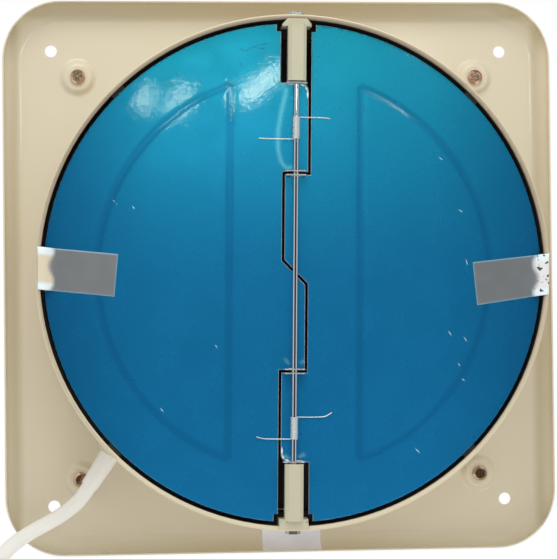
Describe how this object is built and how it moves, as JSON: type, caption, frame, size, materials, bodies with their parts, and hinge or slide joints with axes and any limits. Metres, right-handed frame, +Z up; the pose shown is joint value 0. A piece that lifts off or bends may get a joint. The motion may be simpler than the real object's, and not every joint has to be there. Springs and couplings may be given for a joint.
{
  "type": "wall exhaust fan",
  "caption": "Square wall exhaust fan with a round duct collar, sprung butterfly damper flaps under film, an impeller, a wire guard and a coiled power cord.",
  "frame": {"origin": "centre of the wall screw holes, on the side of the panel's floor that faces the wall", "axes": "+Z is up, -Y points outdoors along the duct and +Y points into the room, +X is to the right when seen from outdoors"},
  "size_m": [0.3827, 0.1254, 0.484],
  "materials": {
    "cream_enamel": "glossy baked enamel on pressed steel",
    "white_wire": "satin paint on welded wire",
    "yellow_zinc": "yellow-plated steel screw",
    "motor_shell": "satin paint on pressed steel",
    "core_steel": "laminated, lightly oiled",
    "copper_wire": "varnished copper wire",
    "bearing_bronze": "sintered bronze",
    "zinc_steel": "bright zinc",
    "black_plastic": "moulded, fine texture",
    "washer_plastic": "smooth",
    "impeller_paint": "satin black paint on sheet metal",
    "cream_plastic": "moulded, half gloss",
    "flap_aluminium": "smooth rolled sheet",
    "blue_film": "glossy protective film with wrinkles",
    "grey_tape": "soft sheen",
    "pale_tape": "soft sheen",
    "grommet_rubber": "matt",
    "white_vinyl": "soft sheen",
    "tie_plastic": "soft sheen",
    "pin_metal": "polished"
  },
  "bodies": {
    "housing": {"front_panel": "cream_enamel", "duct_collar": "cream_enamel", "guard_spokes": "white_wire", "guard_rings": "white_wire", "guard_screws": "yellow_zinc", "motor_front_shell": "motor_shell", "motor_rear_shell": "motor_shell", "stator_core": "core_steel", "stator_windings": "copper_wire", "front_bearing": "bearing_bronze", "rear_bearing": "bearing_bronze", "motor_bolts": "zinc_steel", "motor_nuts": "zinc_steel", "terminal_box": "black_plastic", "hinge_rod": "zinc_steel", "upper_post": "cream_plastic", "lower_post": "cream_plastic", "post_screws": "zinc_steel", "upper_spring": "zinc_steel", "lower_spring": "zinc_steel", "edge_tape": "pale_tape", "cord_grommet": "grommet_rubber", "cord_relief": "white_vinyl", "inner_lead": "white_vinyl", "mains_cord": "white_vinyl", "cord_coil": "white_vinyl", "cord_tie": "tie_plastic", "plug_body": "white_vinyl", "plug_pins": "pin_metal"},
    "impeller": {"rotor": "core_steel", "motor_shaft": "zinc_steel", "thrust_washers": "washer_plastic", "impeller": "impeller_paint", "drive_pin": "zinc_steel", "impeller_nut": "black_plastic"},
    "left_flap": {"left_flap": "flap_aluminium", "left_film": "blue_film", "left_tape": "grey_tape"},
    "right_flap": {"right_flap": "flap_aluminium", "right_film": "blue_film", "right_tape": "grey_tape"}
  },
  "joints": [
    {"name": "impeller_spin", "type": "hinge", "parent": "housing", "child": "impeller", "pos_m": [0, -0.05, 0], "axis": [0, -1, 0], "continuous": true},
    {"name": "left_flap_hinge", "type": "hinge", "parent": "housing", "child": "left_flap", "pos_m": [0, -0.089, 0], "axis": [0.0175, 0, 0.9998], "range_deg": [0, 80], "stiffness_Nm_per_rad": 0.01, "springref_deg": -28.65, "deforming": ["upper_spring", "lower_spring"]},
    {"name": "right_flap_hinge", "type": "hinge", "parent": "housing", "child": "right_flap", "pos_m": [0, -0.089, 0], "axis": [-0.0175, 0, -0.9998], "range_deg": [0, 80], "stiffness_Nm_per_rad": 0.01, "springref_deg": -28.65, "deforming": ["upper_spring", "lower_spring"]}
  ]
}
